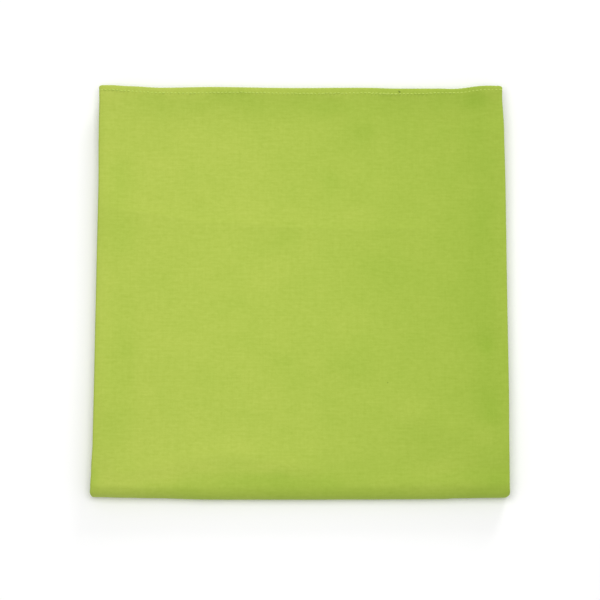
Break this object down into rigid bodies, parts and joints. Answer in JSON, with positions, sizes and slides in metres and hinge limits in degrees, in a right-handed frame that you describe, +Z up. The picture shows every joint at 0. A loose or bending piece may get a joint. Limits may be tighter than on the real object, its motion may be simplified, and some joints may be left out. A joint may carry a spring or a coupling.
{
  "type": "folded microfibre towel",
  "caption": "Hemmed microfibre suede towel, folded flat: long sides turned under, then folded in half and in half again.",
  "frame": {"origin": "middle of the box of the folded towel, on the surface that it rests on", "axes": "+Z up, +X across the folded towel, +Y towards the hemmed end that shows"},
  "size_m": [0.2522, 0.2566, 0.0129],
  "materials": {
    "microfibre": "matt lime green microfibre suede with a fine brushed nap and hems stitched in thread of its own colour"
  },
  "bodies": {
    "root": {"towel": "microfibre"}
  },
  "joints": []
}
